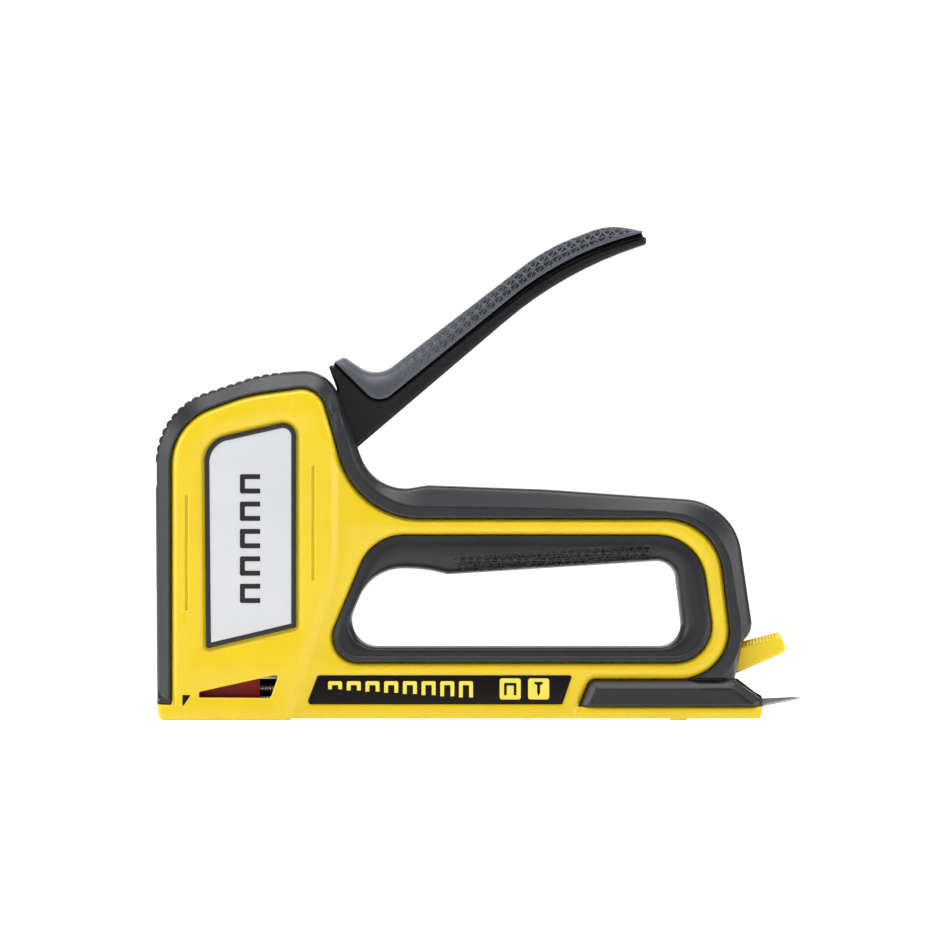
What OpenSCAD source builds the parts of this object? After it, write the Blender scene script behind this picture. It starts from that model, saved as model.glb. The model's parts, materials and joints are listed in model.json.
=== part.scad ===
// Hand-squeezed staple gun with a D-shaped grip.
// Frame: X runs from the nose to the rear, Y across the width, Z up.
// The origin is the staple exit: the driver blade's plane is X = 0, the sole is Z = 0
// and the split between the two half shells is Y = 0.

/* [Body] */
// Half of the width across the head's side faces
head_half = 16.5; // [16:0.5:18]
// Half of the width across the side faces of the grip and the base
frame_half = 14.5; // [14:0.5:15]
// Half of the width at which the soft cover and the liner lap over the shells
lap_half = 12; // [11.5:0.25:12.5]
// Thickness of the soft cover and the liner around the edges
skin = 2; // [1.5:0.25:2.5]
// Number of scallops on the soft cover's front corner
scallop_count = 18; // [8:1:18]

/* [Lever] */
// Half of the width of the lever's core
core_half = 8.5; // [7:0.5:8.5]
// Half of the width of the lever's soft pad
pad_half = 9.4; // [8:0.2:9.4]
// Distance from the lever's pivot to the roller that lifts the plunger
arm_length = 26; // [25.5:0.5:26.5]
// Angle of the lifting arm below the horizontal at rest
arm_drop = 30; // [29:0.5:31]

/* [Magazine] */
// Half of the width between the walls of the staple channel
channel_half = 6.4; // [6.3:0.1:6.5]
// Half of the width over the walls of the rail that carries the staples
rail_half = 4.4; // [4.2:0.1:4.5]
// Sheet thickness of the channel and the rail
sheet = 0.8; // [0.6:0.1:1]

/* [Power spring] */
// Wire diameter of the power spring
power_wire = 2.2; // [1.8:0.1:2.3]
// Number of turns of the power spring
power_turns = 7; // [5:1:7]

/* [Hidden] */
$fn = 64;
arc_step = 9;       // degrees between the points of a rounded corner
through = 40;       // a length that runs past both side faces
gap = 0.2;          // clearance between pieces that slide past each other
turn_gap = 0.05;    // radial clearance of a running pin

// ---------------------------------------------------------------------------------------
// Side-view outlines. Each corner is [x, z, rounding radius], clockwise with Z up.
// ---------------------------------------------------------------------------------------

// Underside, from the rear to the front, with a small rear foot and the nose sole
sole_z = 0.45;
SOLE = [
    [173.25, sole_z, 0.6], [151.2, sole_z, 0], [150.8, 0, 0], [146.2, 0, 0], [145.8, sole_z, 0],
    [32.5, sole_z, 0], [32, 0, 0], [-7.05, 0, 1.9]
];

// Silhouette of the closed body, without the lever, the latch and the remover
BODY = concat([
    [-7.65, 4.95, 0], [-8.2, 93.15, 22.1], [23.7, 103.8, 45], [43.8, 105.15, 11],
    [56.8, 69.35, 14.5], [67.5, 69.35, 3], [73.5, 70.3, 6], [108.6, 69.05, 60],
    [165.2, 65.15, 18], [170.8, 27.15, 6], [167.85, 23.4, 1.5], [165.4, 12.1, 0.6],
    [173.3, 6.4, 1.5], [173.8, 4.05, 0]
], SOLE);

// Face of the hard shell that stays bare inside the soft cover
FACE = concat([
    [-7.65, 5.1, 0], [-3.5, 4.7, 0], [-3.5, 89, 18], [19.2, 97.3, 45], [40.95, 100.35, 7.5],
    [52.4, 60.4, 25], [160, 60.4, 17.5], [165.8, 12.15, 14.7], [122.1, 12.15, 2.5],
    [118.6, 4.05, 0], [173.8, 4.05, 0]
], SOLE);

// Edge of the liner on the side face, and the opening for the hand inside it
LINER = [[57.15, 55.15, 14], [154.6, 55.15, 14.5], [159.9, 17.25, 11], [41.4, 17.25, 7.5]];
HAND = [
    [56.7, 45.3, 14], [72.3, 45.3, 40], [79.35, 43.55, 1.2], [147, 47.85, 5.7],
    [150, 22.1, 6.3], [46.9, 22.1, 7.6]
];

// The head stands proud in front of this line
HEAD_ZONE = [[-20, -5, 0], [-20, 110, 0], [45.5, 110, 0], [45.5, 45, 30], [29.5, -5, 0]];

BADGE = [[6.5, 83.7, 8.3], [34.1, 89.95, 4], [34.1, 27.7, 0.8], [7.05, 21.25, 0.8]];
LABEL = [[40.5, 13.35, 1], [116.7, 13.35, 0.6], [113.7, 4.65, 0.6], [37.2, 4.65, 1]];
WINDOW = [[5, 8.4, 0.4], [28.8, 13.65, 0.6], [26.4, 6.6, 0.6], [5, 6.75, 0.4]];
DRIVE_MARK = [[0, 7.5, 0], [2.55, 7.5, 0], [0, 3.9, 0]];

// Hollows of the head, the grip and the rear column
WORKS_ROOM = [
    [-2.8, 43, 0], [-2.8, 85, 13], [16, 96, 6], [33, 98, 2], [33, 70, 2], [27, 62, 2], [27, 43, 1.5]
];
HEAD_ROOM = [
    [4, 20, 2], [4, 39, 2], [30, 39, 2], [30, 60, 2], [40, 66, 2], [46, 40, 2], [37, 20, 2]
];
GRIP_ROOM = [
    [58, 53.5, 2], [58, 64, 2], [152, 62, 4], [162, 55, 6], [164.5, 27, 1.5], [156, 27, 1.5],
    [153.5, 53.5, 3]
];

// Room that the lever sweeps through in the head's rear wall, and the latch in the rear column
LEVER_ROOM = [
    [32, 71, 0], [32, 97.5, 0], [39.6, 97.5, 1], [41.2, 112, 0], [80, 112, 0], [80, 76.3, 0],
    [50, 76.3, 2], [46, 71, 2]
];
LATCH_ROOM = [
    [147, 10, 0], [147, 19.2, 1], [157.5, 22, 1], [168.9, 24.3, 0.5], [190, 24.3, 0], [190, 10, 0]
];
lever_room_half = 9.6;
latch_room_half = 6.3;

// Screw posts, as [x, z]
SCREWS = [[12, 29.5], [36.2, 28], [34.8, 55.5], [66, 58.8], [147, 57.5], [160.2, 34]];
post_radius = 3.6;
screw_head_radius = 2.9;
screw_radius = 1.5;

// ---------------------------------------------------------------------------------------
// Mechanism
// ---------------------------------------------------------------------------------------

lever_pivot = [44, 87];
lever_pin_radius = 3;
lever_hub_radius = 9.5;
lever_pin_half = lap_half;   // the bore stops at the soft cover's lap
roller_radius = 2.5;
roller = lever_pivot - arm_length * [cos(arm_drop), sin(arm_drop)];
arm_half = 2.5;

latch_pivot = [163, 18];
latch_pin_radius = 1.5;
latch_half = 3;
tab_half = 6;

blade_half = 0.6;           // half of the driver blade's thickness
staple_half = 5.3;          // half of the width of a staple's crown
drive_gap = 0.9;            // half of the gap that the blade slides in
nose_plate_front = -2.4;

spring_x = 7.6;             // axis of the power spring
spring_mean_radius = 4.3;
spring_floor = 50;
spring_top = 85.2;
cup_radius = 5.7;

channel_bottom = sole_z + 0.35;
channel_top = 15;
channel_end = 163.8;
tunnel_half = channel_half + sheet;
rail_bottom = channel_bottom + sheet + 0.6;
rail_top = 13.2;
rail_end = 150;
rod_z = 9.4;
rod_radius = 1.25;
pusher_back = 23.1;
feed_spring_radius = 3;
feed_wire = 0.6;
tail_front = 146;
slot_end = 120;             // rear end of the slots in the rail's walls

LEVER_CORE = [
    [43.6, 106.3, 0.6], [45.1, 106.1, 0], [45.6, 107.1, 0], [58.6, 94.25, 5.5],
    [115.5, 140.5, 97], [137.6, 145.9, 0], [138, 144.8, 0], [138.9, 144.5, 0.5],
    [138.9, 142.5, 0.9], [114.4, 134.4, 118], [50.15, 79.75, 0], [44, 87, 0], [47, 97, 0]
];
LEVER_PAD = [
    [45.6, 107.5, 0.3], [48.4, 108.9, 1.2], [58.1, 102.4, 8.5], [109, 141.5, 60],
    [127.5, 148.6, 20], [138, 146.6, 0.3], [137.6, 145.9, 0], [115.5, 140.5, 97],
    [58.6, 94.25, 5.5], [45.6, 107.1, 0]
];
LATCH = [
    [148.5, 14.5, 0.3], [148.5, 16.2, 1], [155, 18.6, 4], [159.5, 21, 3], [168.5, 23.6, 6],
    [178.9, 26.4, 1.6], [181, 21.2, 1.3], [179.6, 19.8, 3], [166.2, 14, 0.5], [163, 14.6, 2],
    [158, 15.8, 1], [152.2, 15.2, 0.5], [151.5, 14.5, 0.3]
];
PLUNGER = [
    [blade_half, 47, 0], [blade_half, 71, 0], [13.9, 71, 0], [13.9, 80, 1.2], [26.2, 80, 2],
    [26.2, 66, 3], [16, 54, 3], [16, 47, 0.5]
];
TAIL = [
    [tail_front, 2.4, 0], [tail_front, 12, 0], [rail_end, 12, 0], [rail_end, 14, 0], [158, 14, 0],
    [165.2, 12.3, 1], [166.3, 12.3, 0.5], [171.7, 8.2, 1], [173.6, 7.2, 0.8], [173.6, 2.8, 1],
    [164.1, 1.9, 0], [rail_end, 1.9, 0], [rail_end, 2.4, 0]
];
REMOVER = [[167, 6.1, 0], [184.7, 6.9, 0], [185.2, 6.55, 0], [185.1, 6.15, 0], [167, 2.6, 0]];

// ---------------------------------------------------------------------------------------
// Outline functions
// ---------------------------------------------------------------------------------------

function unit(v) = v / norm(v);
function at(corner) = [corner[0], corner[1]];
function previous(list, i) = list[(i + len(list) - 1) % len(list)];
function next(list, i) = list[(i + 1) % len(list)];
function left_of(v) = [-v.y, v.x];

// Moves every edge of a clockwise outline outwards by d, or inwards when d is negative
function moved(corners, d) = [
    for (i = [0 : len(corners) - 1])
        let (
            here = at(corners[i]),
            along_in = unit(here - at(previous(corners, i))),
            along_out = unit(at(next(corners, i)) - here),
            out_in = left_of(along_in),
            out_out = left_of(along_out),
            place = here + d * (out_in + out_out) / (1 + out_in * out_out),
            bulge = cross(along_in, along_out) < 0 ? 1 : -1,
            radius = corners[i][2]
        )
        [place.x, place.y, radius == 0 ? 0 : max(0, radius + bulge * d)]
];

// Points of one rounded corner
function corner_points(before, corner, after) =
    corner[2] == 0 ? [at(corner)] :
    let (
        to_before = unit(at(before) - at(corner)),
        to_after = unit(at(after) - at(corner)),
        half_angle = acos(to_before * to_after) / 2,
        centre = at(corner) + unit(to_before + to_after) * corner[2] / sin(half_angle),
        first = at(corner) + to_before * corner[2] / tan(half_angle) - centre,
        start = atan2(first.y, first.x),
        sweep = -sign(cross(to_before, to_after)) * (180 - 2 * half_angle),
        steps = max(2, ceil(abs(sweep) / arc_step))
    )
    [
        for (k = [0 : steps])
            let (angle = start + sweep * k / steps)
            centre + corner[2] * [cos(angle), sin(angle)]
    ];

function rounded(corners) = [
    for (i = [0 : len(corners) - 1])
        each corner_points(previous(corners, i), corners[i], next(corners, i))
];

// ---------------------------------------------------------------------------------------
// Building modules
// ---------------------------------------------------------------------------------------

// A side-view outline as a flat shape, grown by d
module outline(corners, d = 0) {
    polygon(rounded(d == 0 ? corners : moved(corners, d)));
}

// Stands a side-view shape up and stretches it across the width from y0 to y1
module slab(y0, y1) {
    translate([0, y1, 0]) rotate([90, 0, 0]) linear_extrude(y1 - y0) children();
}

module slab_both(half) {
    slab(-half, half) children();
}

// A round bar along Y at a side-view place
module cross_bar(place, radius, half) {
    translate([place.x, half, place.y]) rotate([90, 0, 0]) cylinder(r = radius, h = 2 * half);
}

// A round wire wound around the Z axis
module coil(mean_radius, wire, turns, height) {
    sides = 6;
    per_turn = 14;
    rings = turns * per_turn;
    points = [
        for (i = [0 : rings])
            for (s = [0 : sides - 1])
                let (
                    turn = 360 * i / per_turn,
                    around = 360 * s / sides,
                    radius = mean_radius + wire / 2 * cos(around)
                )
                [radius * cos(turn), radius * sin(turn),
                    wire / 2 + (height - wire) * i / rings + wire / 2 * sin(around)]
    ];
    walls = [
        for (i = [0 : rings - 1])
            for (s = [0 : sides - 1])
                let (a = i * sides + s, b = i * sides + (s + 1) % sides)
                [a, b, b + sides, a + sides]
    ];
    first_cap = [for (s = [sides - 1 : -1 : 0]) s];
    last_cap = [for (s = [0 : sides - 1]) rings * sides + s];
    polyhedron(points, concat([first_cap], walls, [last_cap]), convexity = 10);
}

// The left half of the gun is the mirror image of the right half
module left() {
    mirror([0, 1, 0]) children();
}

// ---------------------------------------------------------------------------------------
// Housing
// ---------------------------------------------------------------------------------------

// Hard shell under the soft cover, as deep as the lap
module shell_core_outline() {
    outline(FACE);
    outline(BODY, -skin);
}

module head_face_outline() {
    intersection() {
        outline(FACE, -0.8);
        outline(HEAD_ZONE);
    }
}

module hollow_outline() {
    difference() {
        union() {
            outline(HEAD_ROOM);
            outline(GRIP_ROOM);
        }
        for (place = SCREWS) {
            translate(place) circle(r = post_radius);
        }
    }
}

// Everything that the lever, the latch, the driver and the magazine need to move in
module moving_room() {
    slab_both(lever_room_half) outline(LEVER_ROOM);
    slab_both(latch_room_half) outline(LATCH_ROOM);
    translate([drive_gap, -tunnel_half, -1]) cube([190, 2 * tunnel_half, channel_top + 1]);
    translate([nose_plate_front, -tunnel_half, -1])
        cube([drive_gap - nose_plate_front, 2 * tunnel_half, 46]);
}

// Two narrow vertical grooves beside the badge
module face_grooves() {
    groove_width = 0.6;
    groove_depth = 0.5;
    for (groove = [[1.05, 32.9, 67.35], [38.7, 41.85, 75.95]]) {
        translate([groove[0] - groove_width / 2, head_half - groove_depth, groove[1]])
            cube([groove_width, groove_depth + 1, groove[2] - groove[1]]);
    }
}

badge_recess = 0.8;
recess_margin = 1.5;    // the badge's recess starts this far outside its border
label_recess = 0.2;

module shell_half() {
    difference() {
        union() {
            slab(0, lap_half) shell_core_outline();
            slab(lap_half, frame_half) outline(FACE);
            slab(frame_half, head_half) head_face_outline();
        }
        slab(-1, lap_half) outline(HAND, skin);
        slab(lap_half, through) outline(LINER);
        slab(-1, lap_half) outline(WORKS_ROOM);
        slab(-1, lap_half - 1) hollow_outline();
        slab(-1, through) outline(WINDOW);
        slab(head_half - badge_recess, through) outline(BADGE, recess_margin);
        slab(frame_half - label_recess, through) outline(LABEL);
        face_grooves();
        moving_room();
        cross_bar(lever_pivot, lever_pin_radius + 0.02, lever_pin_half);
        cross_bar(latch_pivot, latch_pin_radius + 0.02, latch_room_half + 3);
    }
}

module screw_holes(head_floor) {
    for (place = SCREWS) {
        translate([place.x, through, place.y]) rotate([90, 0, 0]) {
            cylinder(r = screw_radius + gap, h = through + 1);
            cylinder(r = screw_head_radius + gap, h = through - head_floor);
        }
    }
}

screw_seat = 9;         // the screw heads sit on this plane of the right shell
screw_tip = -8;

module left_shell() {
    color("gold") difference() {
        left() shell_half();
        for (place = SCREWS) {
            translate([place.x, 1, place.y]) rotate([90, 0, 0])
                cylinder(r = screw_radius + 0.02, h = 1.2 - screw_tip);
        }
    }
}

module right_shell() {
    color("gold") difference() {
        shell_half();
        screw_holes(screw_seat);
    }
}

module shell_screws() {
    head_height = 2.4;
    drive_size = 2.6;
    color("dimgray") for (place = SCREWS) {
        translate([place.x, 0, place.y]) rotate([-90, 0, 0]) difference() {
            union() {
                translate([0, 0, screw_tip]) cylinder(r = screw_radius, h = screw_seat - screw_tip);
                translate([0, 0, screw_seat]) cylinder(r = screw_head_radius, h = head_height);
            }
            translate([0, 0, screw_seat + head_height - 1.2])
                linear_extrude(2) for (turn = [0, 90]) {
                    rotate(turn) square([drive_size, 0.7], center = true);
                }
        }
    }
}

// Scallops around the front corner and a little way along the top
scallop_pitch = 2.8;
scallop_radius = 1.9;
scallop_sink = 0.45;
corner_centre = [13.9, 77.25];
corner_radius = 22.1;
top_slope = 18.5;

module scallops() {
    corner_length = corner_radius * (90 - top_slope) * PI / 180;
    for (i = [0 : scallop_count - 1]) {
        travel = (i + 0.5) * scallop_pitch;
        turn = 180 - min(travel, corner_length) / corner_radius * 180 / PI;
        rest = max(0, travel - corner_length);
        reach = corner_radius + scallop_radius - scallop_sink;
        place = corner_centre + reach * [cos(turn), sin(turn)]
            + rest * [cos(top_slope), sin(top_slope)];
        cross_bar(place, scallop_radius, through);
    }
}

// The soft cover wraps the outer edge in three steps that round it off
module cover_half() {
    edge_half = lap_half - 1.5;
    step_half = lap_half + 1;
    face_half = frame_half + 0.4;
    color("dimgray") difference() {
        union() {
            slab(0, edge_half) difference() {
                outline(BODY);
                shell_core_outline();
            }
            slab(edge_half, lap_half) difference() {
                outline(BODY, -1);
                shell_core_outline();
            }
            slab(lap_half, step_half) difference() {
                outline(BODY, -1);
                outline(FACE);
            }
            slab(step_half, face_half) difference() {
                outline(BODY, -2.6);
                outline(FACE);
            }
        }
        moving_room();
        scallops();
    }
}

module left_cover() {
    left() cover_half();
}

module right_cover() {
    cover_half();
}

// The liner rounds the edge of the hand opening in steps
module liner_half() {
    color([0.2, 0.2, 0.21]) {
        slab(0, lap_half) difference() {
            outline(HAND, skin);
            outline(HAND);
        }
        slab(lap_half, lap_half + 1.2) difference() {
            outline(LINER);
            outline(HAND, 1);
        }
        slab(lap_half + 1.2, frame_half) difference() {
            outline(LINER);
            outline(HAND, 2.8);
        }
    }
}

module left_liner() {
    left() liner_half();
}

module right_liner() {
    liner_half();
}

badge_border = 1.5;
badge_floor = head_half - badge_recess;

module badge_frame_half() {
    color([0.13, 0.13, 0.14]) slab(badge_floor, head_half) difference() {
        outline(BADGE);
        outline(BADGE, -badge_border);
    }
}

module badge_plate_half() {
    color("gainsboro") slab(badge_floor, head_half - 0.2) outline(BADGE, -badge_border);
}

module left_badge_frame() {
    left() badge_frame_half();
}

module right_badge_frame() {
    badge_frame_half();
}

module left_badge_plate() {
    left() badge_plate_half();
}

module right_badge_plate() {
    badge_plate_half();
}

label_face = frame_half + 0.15;
print_height = 0.1;

module label_half() {
    color([0.12, 0.11, 0.1]) slab(frame_half - label_recess, label_face) outline(LABEL);
}

// A staple seen from the front: a crown with two legs of the given length
module staple_sign(width, leg, line) {
    difference() {
        square([width, leg]);
        translate([line, -1]) square([width - 2 * line, leg + 1 - line]);
    }
}

// A nail seen from the side
module nail_sign(height) {
    head = 2.4;
    line = 0.8;
    translate([-head / 2, height - line]) square([head, line]);
    translate([-line / 2, 0]) square([line, height]);
}

// Staples with ever longer legs, and two tiles that show what the gun drives
module label_print_half() {
    tile = 6.3;
    low = 6.15;
    color("gold") slab(label_face, label_face + print_height) {
        for (i = [0 : 7]) {
            leg = 2.4 + 0.35 * i;
            translate([43.6 + 5.6 * i, low + 5.4 - leg]) staple_sign(4.2, leg, 1.15);
        }
        translate([95, low]) difference() {
            square([tile, tile]);
            translate([1.5, 1.4]) staple_sign(3.3, 3.6, 0.9);
        }
        translate([103.5, low]) difference() {
            square([tile, tile]);
            translate([tile / 2, 1.2]) nail_sign(3.9);
        }
    }
}

module left_label() {
    left() label_half();
}

module right_label() {
    label_half();
}

module left_label_print() {
    left() label_print_half();
}

module right_label_print() {
    label_print_half();
}

// Small arrows that show where the staple comes out
module drive_marks() {
    color([0.12, 0.11, 0.1]) for (side = [0, 1]) {
        mirror([0, side, 0]) slab(head_half, head_half + 0.1) outline(DRIVE_MARK);
    }
}

module nose_plate() {
    color("silver") translate([nose_plate_front, -tunnel_half, 0])
        cube([-drive_gap - nose_plate_front, 2 * tunnel_half, 60]);
}

// A folded sheet, open behind the window and under the latch's hook
module staple_channel() {
    window_front = 4.4;
    window_low = 6;
    window_length = 25.2;
    window_height = 8.2;
    slot_front = 147;
    slot_length = 20;
    slot_low = 10;
    color("silver") difference() {
        translate([drive_gap, -tunnel_half, channel_bottom])
            cube([channel_end - drive_gap, 2 * tunnel_half, channel_top - channel_bottom]);
        translate([0, -channel_half, channel_bottom + sheet])
            cube([through + channel_end, 2 * channel_half, channel_top]);
        translate([window_front, -through, window_low])
            cube([window_length, 2 * through, window_height]);
        translate([slot_front, -latch_room_half, slot_low])
            cube([slot_length, 2 * latch_room_half, channel_top]);
    }
}

// Rubber block that stops the plunger, just below its lowest place
module plunger_bumper() {
    length = 23;
    width = 16;
    height = 4;
    color([0.15, 0.15, 0.16]) translate([drive_gap + 0.3, -width / 2, 43]) cube([length, width, height]);
}

// A flat ring for the spring with a post that centres it and a stay under the roof
module spring_seat() {
    color("silver") {
        translate([spring_x, 0, spring_top]) cylinder(r = 5.4, h = 2);
        translate([spring_x, 0, spring_top - 2]) cylinder(r = 2.9, h = 2);
        slab_both(4) polygon([[5, spring_top + 2], [5, 88.8], [12.9, 92.8], [12.9, spring_top + 2]]);
    }
}

module lever_pin() {
    color("silver") cross_bar(lever_pivot, lever_pin_radius, lever_pin_half - gap);
}

module latch_pin() {
    color("silver") cross_bar(latch_pivot, latch_pin_radius, latch_room_half + 2.8);
}

module latch_spring() {
    color("silver") translate([latch_pivot.x, latch_room_half - gap, latch_pivot.y])
        rotate([90, 0, 0]) coil(2.2, 0.6, 4, latch_room_half - latch_half - 2 * gap);
}

// ---------------------------------------------------------------------------------------
// Lever
// ---------------------------------------------------------------------------------------

// The lifting arm: a hub, a straight bar and a rounded end at the roller
module arm_solid() {
    hub = 8;
    end = 3.6;
    side = left_of(unit(roller - lever_pivot));
    cross_bar(lever_pivot, hub, arm_half);
    cross_bar(roller, end, arm_half);
    slab_both(arm_half) polygon([
        lever_pivot - side * (hub - 1.5), roller - side * (end - 0.4),
        roller + side * (end - 0.4), lever_pivot + side * (hub - 1.5)
    ]);
}

module lever_core() {
    color([0.18, 0.18, 0.2]) difference() {
        union() {
            slab_both(core_half) outline(LEVER_CORE);
            cross_bar(lever_pivot, lever_hub_radius, core_half);
        }
        arm_solid();
        cross_bar(lever_pivot, lever_pin_radius + turn_gap, through);
    }
}

module lever_pad() {
    color([0.34, 0.35, 0.38]) slab_both(pad_half) outline(LEVER_PAD);
}

module lever_arm() {
    color("silver") difference() {
        arm_solid();
        cross_bar(lever_pivot, lever_pin_radius + turn_gap, through);
        cross_bar(roller, roller_radius - 0.5, through);
    }
}

// The roller is a pin through the arm with a wheel on each side
module lever_roller() {
    wheel_half = 6;
    color("gray") {
        cross_bar(roller, roller_radius - 0.52, arm_half + 0.1);
        for (side = [0, 1]) {
            mirror([0, side, 0]) translate([roller.x, wheel_half, roller.y]) rotate([90, 0, 0])
                cylinder(r = roller_radius, h = wheel_half - arm_half - 0.05);
        }
    }
}

// ---------------------------------------------------------------------------------------
// Driver
// ---------------------------------------------------------------------------------------

// A block with a cup for the spring and a forked bracket that the roller lifts
module plunger() {
    fork_inside = arm_half + 0.6;
    roller_play = 0.4;
    color("slategray") difference() {
        slab_both(7.2) outline(PLUNGER);
        translate([spring_x, 0, spring_floor]) cylinder(r = cup_radius, h = 40);
        translate([14, -fork_inside, 69.2]) cube([30, 2 * fork_inside, 20]);
        translate([15.2, -through, roller.y - roller_radius - roller_play])
            cube([20, 2 * through, 2 * (roller_radius + roller_play)]);
    }
}

module driver_blade() {
    color("silver") translate([-blade_half, -staple_half, 0.5])
        cube([2 * blade_half, 2 * staple_half, 70]);
}

module power_spring() {
    color("lightgray") translate([spring_x, 0, spring_floor])
        coil(spring_mean_radius, power_wire, power_turns, spring_top - spring_floor);
}

// ---------------------------------------------------------------------------------------
// Magazine
// ---------------------------------------------------------------------------------------

rail_front = 1.4;
rail_height = rail_top - rail_bottom;

// A folded sheet that the staples sit astride, slotted so that the pusher reaches inside
module magazine_rail() {
    slot_front = 8.5;
    slot_low = 6.2;
    slot_height = 6;
    color("silver") difference() {
        union() {
            difference() {
                translate([rail_front, -rail_half, rail_bottom])
                    cube([rail_end - rail_front, 2 * rail_half, rail_height]);
                translate([0, -rail_half + sheet, 0])
                    cube([200, 2 * (rail_half - sheet), rail_top - sheet]);
            }
            translate([rail_front + 1, -rail_half + sheet, rail_bottom])
                cube([2, 2 * (rail_half - sheet), rail_height - sheet]);
        }
        translate([slot_front, -through, slot_low])
            cube([slot_end - slot_front, 2 * through, slot_height]);
        translate([0, 0, rod_z]) rotate([0, 90, 0]) cylinder(r = rod_radius + 0.02, h = 6);
    }
}

module guide_rod() {
    color("silver") translate([rail_front + 1, 0, rod_z]) rotate([0, 90, 0])
        cylinder(r = rod_radius, h = tail_front + 6 - rail_front);
}

module tail_plan() {
    tongue = rail_half - sheet;
    block = channel_half - gap;
    polygon([
        [tail_front, -tongue], [tail_front, tongue], [rail_end, tongue], [rail_end, block],
        [channel_end + gap, block], [channel_end + gap, tunnel_half - gap],
        [180, tunnel_half - gap], [180, -tunnel_half + gap],
        [channel_end + gap, -tunnel_half + gap], [channel_end + gap, -block],
        [rail_end, -block], [rail_end, -tongue]
    ]);
}

module magazine_tail() {
    notch_front = 152.2;
    notch_low = 12.6;
    notch_length = 4;
    color([0.17, 0.17, 0.18]) difference() {
        intersection() {
            slab_both(through) outline(TAIL);
            linear_extrude(through) tail_plan();
        }
        translate([tail_front - 1, 0, rod_z]) rotate([0, 90, 0])
            cylinder(r = rod_radius + 0.02, h = 8);
        staple_remover_solid();
        translate([notch_front, -latch_half - gap, notch_low])
            cube([notch_length, 2 * (latch_half + gap), through]);
    }
}

// A forked steel blade that pries out staples
module staple_remover_solid() {
    root_half = 5;
    tip_half = 5.6;
    notch_half = 1.9;
    intersection() {
        slab_both(through) outline(REMOVER);
        linear_extrude(through) polygon([
            [167, -root_half], [167, root_half], [182.5, tip_half], [185.2, tip_half - 1.2],
            [185.2, notch_half], [176.5, 0.35], [176.5, -0.35], [185.2, -notch_half],
            [185.2, -tip_half + 1.2], [182.5, -tip_half]
        ]);
    }
}

module staple_remover() {
    color("silver") staple_remover_solid();
}

// The pusher straddles the rail and rides on the guide rod through the rail's slots
module pusher() {
    cheek_half = channel_half - gap;
    cheek_inside = rail_half + gap;
    low = 3;
    high = 14.4;
    front = 3;
    arm_front = 9;
    arm_low = 7;
    arm_height = 4.8;
    color("darkred") difference() {
        translate([front, -cheek_half, low]) cube([pusher_back - front, 2 * cheek_half, high - low]);
        difference() {
            translate([front - 1, -cheek_inside, low - 1])
                cube([pusher_back, 2 * cheek_inside, rail_top + gap - low + 1]);
            translate([arm_front, -through, arm_low])
                cube([pusher_back - arm_front + 2, 2 * through, arm_height]);
        }
        translate([0, 0, rod_z]) rotate([0, 90, 0]) cylinder(r = rod_radius + turn_gap, h = 40);
    }
}

// The feed spring's outer envelope, from the pusher to the tail
module feed_spring() {
    start = pusher_back + 0.1;
    color("lightgray") translate([start, 0, rod_z]) rotate([0, 90, 0]) difference() {
        cylinder(r = feed_spring_radius, h = tail_front - 0.1 - start);
        translate([0, 0, -1]) cylinder(r = feed_spring_radius - 1.5 * feed_wire, h = through + tail_front);
    }
}

// ---------------------------------------------------------------------------------------
// Latch
// ---------------------------------------------------------------------------------------

// A narrow arm that turns on the pin, and a wide tab for the thumb
module latch_tab() {
    tab_start = latch_pivot.x + 3.2;
    color("gold") difference() {
        union() {
            slab_both(latch_half) outline(LATCH);
            intersection() {
                slab_both(tab_half) outline(LATCH);
                translate([tab_start, -through, 0]) cube([through, 2 * through, through]);
            }
        }
        cross_bar(latch_pivot, latch_pin_radius + turn_gap, through);
    }
}

// ---------------------------------------------------------------------------------------
// Assembly
// ---------------------------------------------------------------------------------------

left_shell();
right_shell();
left_cover();
right_cover();
left_liner();
right_liner();
left_badge_frame();
right_badge_frame();
left_badge_plate();
right_badge_plate();
left_label();
right_label();
left_label_print();
right_label_print();
drive_marks();
nose_plate();
staple_channel();
plunger_bumper();
spring_seat();
shell_screws();
lever_pin();
latch_pin();
latch_spring();
lever_core();
lever_pad();
lever_arm();
lever_roller();
plunger();
driver_blade();
power_spring();
magazine_rail();
magazine_tail();
staple_remover();
guide_rod();
pusher();
feed_spring();
latch_tab();
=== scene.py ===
"""Staple gun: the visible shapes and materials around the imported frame.

Side-view outlines are lists of [x, z, corner radius] in millimetres, clockwise with z up. A sculpted
piece is a plan of triangles over such outlines, pushed out of the side view by a height function.
"""

import json
import math

import bmesh
import bpy
import numpy as np
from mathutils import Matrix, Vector
from mathutils.geometry import delaunay_2d_cdt

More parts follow.
